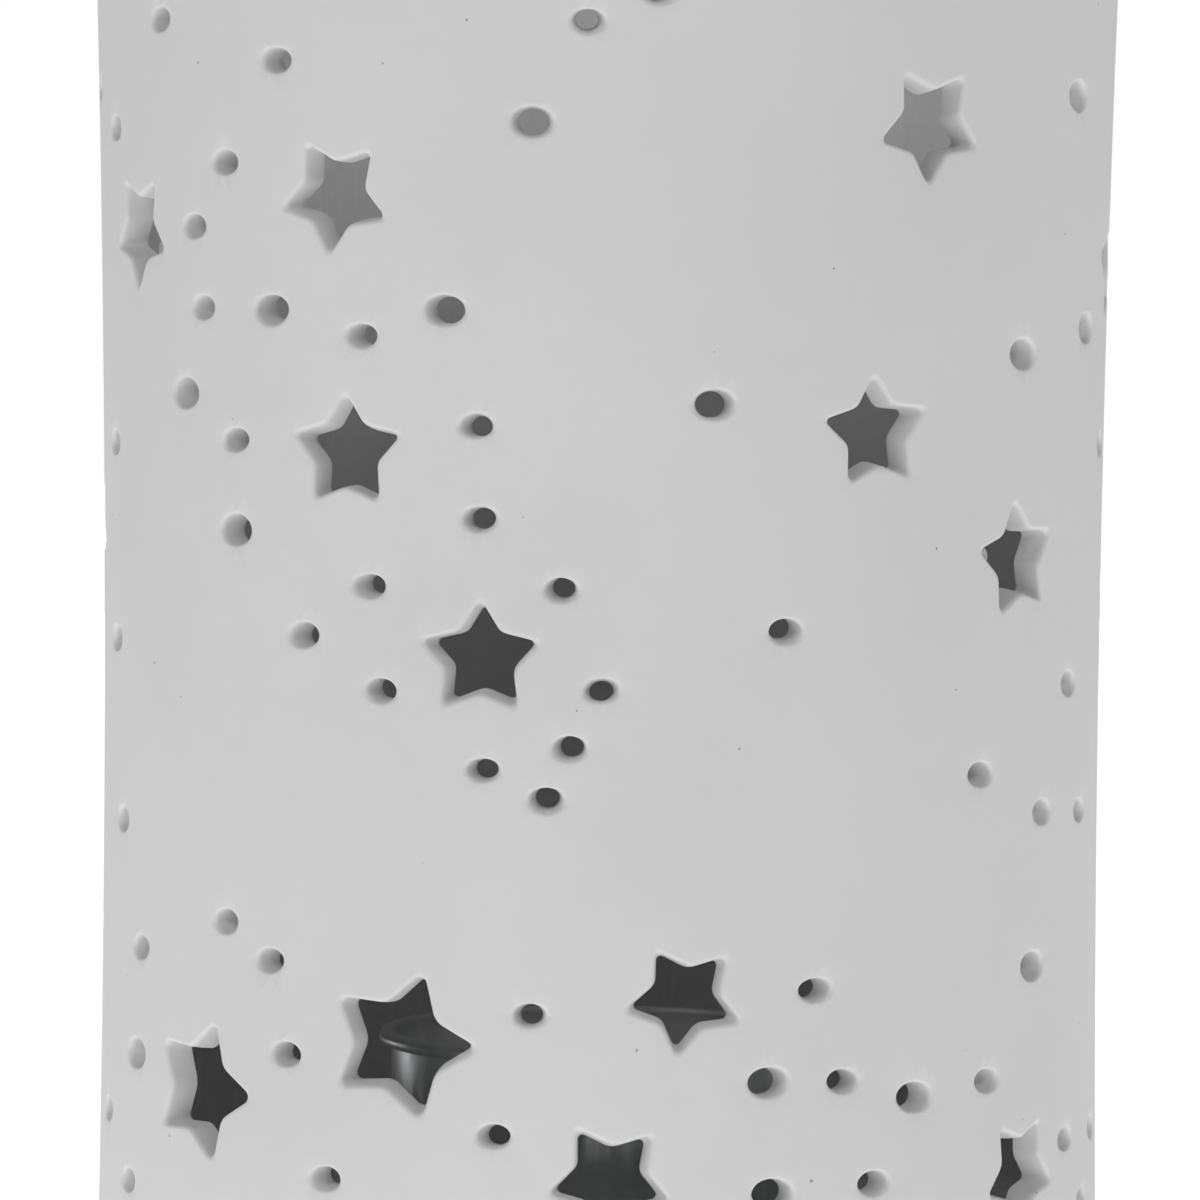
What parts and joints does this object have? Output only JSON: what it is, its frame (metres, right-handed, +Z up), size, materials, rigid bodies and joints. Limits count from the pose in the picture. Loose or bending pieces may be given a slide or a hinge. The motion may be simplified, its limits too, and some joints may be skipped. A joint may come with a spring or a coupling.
{
  "type": "tealight holder",
  "caption": "Waisted porcelain lantern, open at the top and pierced with stars and round dots, with a loose tealight standing on its floor.",
  "frame": {"origin": "middle of the foot ring, on the surface that the lantern stands on", "axes": "+Z up, along the lantern's axis; -Y towards the side shown as its front"},
  "size_m": [0.0936, 0.0936, 0.14],
  "materials": {
    "porcelain": "unglazed matte outside, clear glaze inside",
    "aluminium": "bright pressed foil",
    "paraffin": "satin wax",
    "waxed_cotton": "braided, wax coated",
    "tinned_steel": "tin plated"
  },
  "bodies": {
    "lantern": {"lantern_shell": "porcelain"},
    "tealight": {"tealight_cup": "aluminium"},
    "candle": {"tealight_wax": "paraffin", "tealight_wick": "waxed_cotton", "wick_sustainer": "tinned_steel"}
  },
  "joints": [
    {"name": "tealight_lift", "type": "slide", "parent": "lantern", "child": "tealight", "axis": [0, 0, 1], "range_m": [0, 0.15]},
    {"name": "candle_lift", "type": "slide", "parent": "tealight", "child": "candle", "axis": [0, 0, 1], "range_m": [0, 0.15]}
  ]
}
